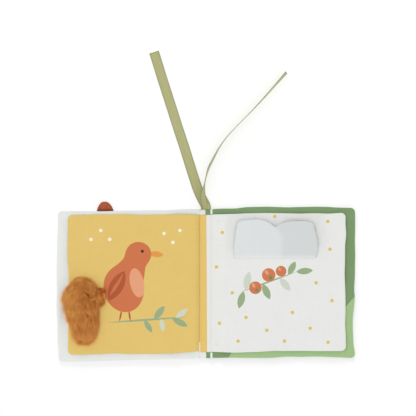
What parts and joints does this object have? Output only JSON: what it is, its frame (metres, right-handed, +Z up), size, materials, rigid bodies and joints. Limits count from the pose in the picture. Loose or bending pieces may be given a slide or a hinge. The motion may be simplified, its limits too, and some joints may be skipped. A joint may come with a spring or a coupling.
{
  "type": "baby activity book",
  "caption": "Padded cloth activity book lying open, with sewn-in leaves, a lobed lift-up flap, a plush tail, a velour ear tab and ribbon ties at the spine.",
  "frame": {"origin": "centre of the open book's footprint, ear tab included and ribbon ties left out, on the surface that the covers lie on", "axes": "+Z up out of the pages, +Y towards the pages' top edge where the ribbon ties leave the spine, +X from the front cover (left) to the back cover (right)"},
  "size_m": [0.3, 0.3112, 0.0211],
  "materials": {
    "pale_cotton": "matt plain-weave cotton, pale grey-white",
    "green_cotton": "matt plain-weave cotton printed in two greens",
    "white_cotton": "matt plain-weave cotton, white",
    "yellow_print_cotton": "matt plain-weave cotton printed ochre yellow",
    "white_print_cotton": "matt plain-weave cotton, white with a sparse print",
    "flap_cotton": "matt fine cotton, pale blue-white",
    "polyester_wadding": "lofty white fibre wadding",
    "sewing_thread": "off-white polyester sewing thread",
    "rust_plush": "long-pile rust-brown plush",
    "rust_velour": "short-pile terracotta velour",
    "olive_ribbon": "fine-ribbed olive woven ribbon with a soft sheen"
  },
  "bodies": {
    "spine": {"spine_outer": "pale_cotton", "spine_wadding": "polyester_wadding", "spine_lining": "pale_cotton", "gutter_strip": "yellow_print_cotton", "seam_thread_left": "sewing_thread", "seam_thread_right": "sewing_thread", "ribbon_anchor": "olive_ribbon", "ribbon_left": "olive_ribbon", "ribbon_right": "olive_ribbon"},
    "front_cover": {"front_cover_outer": "pale_cotton", "front_cover_wadding": "polyester_wadding", "front_cover_lining": "pale_cotton"},
    "back_cover": {"back_cover_outer": "green_cotton", "back_cover_wadding": "polyester_wadding", "back_cover_lining": "green_cotton"},
    "left_leaf": {"left_leaf_reverse": "white_cotton", "left_leaf_wadding": "polyester_wadding", "left_leaf_face": "yellow_print_cotton", "tail_stitching": "sewing_thread"},
    "right_leaf": {"right_leaf_reverse": "white_cotton", "right_leaf_wadding": "polyester_wadding", "right_leaf_face": "white_print_cotton", "flap_stitching": "sewing_thread"},
    "flap": {"flap_backing": "flap_cotton", "flap_face": "flap_cotton"},
    "tail": {"plush_tail": "rust_plush"},
    "ear_tab": {"ear_back": "rust_velour", "ear_front": "rust_velour"}
  },
  "joints": [
    {"name": "front_cover_fold", "type": "hinge", "parent": "spine", "child": "front_cover", "pos_m": [-0.00595, 0, 0.0044], "axis": [0, -1, 0], "range_deg": [-90, 0], "deforming": ["plush_tail"]},
    {"name": "back_cover_fold", "type": "hinge", "parent": "spine", "child": "back_cover", "pos_m": [0.00595, 0, 0.0044], "axis": [0, 1, 0], "range_deg": [-90, 0]},
    {"name": "left_leaf_turn", "type": "hinge", "parent": "front_cover", "child": "left_leaf", "pos_m": [-0.00595, 0, 0.0044], "axis": [0, 1, 0], "range_deg": [0, 75]},
    {"name": "right_leaf_turn", "type": "hinge", "parent": "back_cover", "child": "right_leaf", "pos_m": [0.00595, 0, 0.0044], "axis": [0, -1, 0], "range_deg": [0, 75]},
    {"name": "flap_lift", "type": "hinge", "parent": "right_leaf", "child": "flap", "pos_m": [0.0716, 0.02105, 0.00955], "axis": [1, 0, 0], "range_deg": [0, 175]},
    {"name": "tail_lift", "type": "hinge", "parent": "left_leaf", "child": "tail", "pos_m": [-0.1014, -0.01785, 0.00925], "axis": [0, 1, 0], "range_deg": [0, 60]},
    {"name": "ear_bend", "type": "hinge", "parent": "front_cover", "child": "ear_tab", "pos_m": [-0.1015, 0.0705, 0.0031], "axis": [1, 0, 0], "range_deg": [0, 100]}
  ]
}
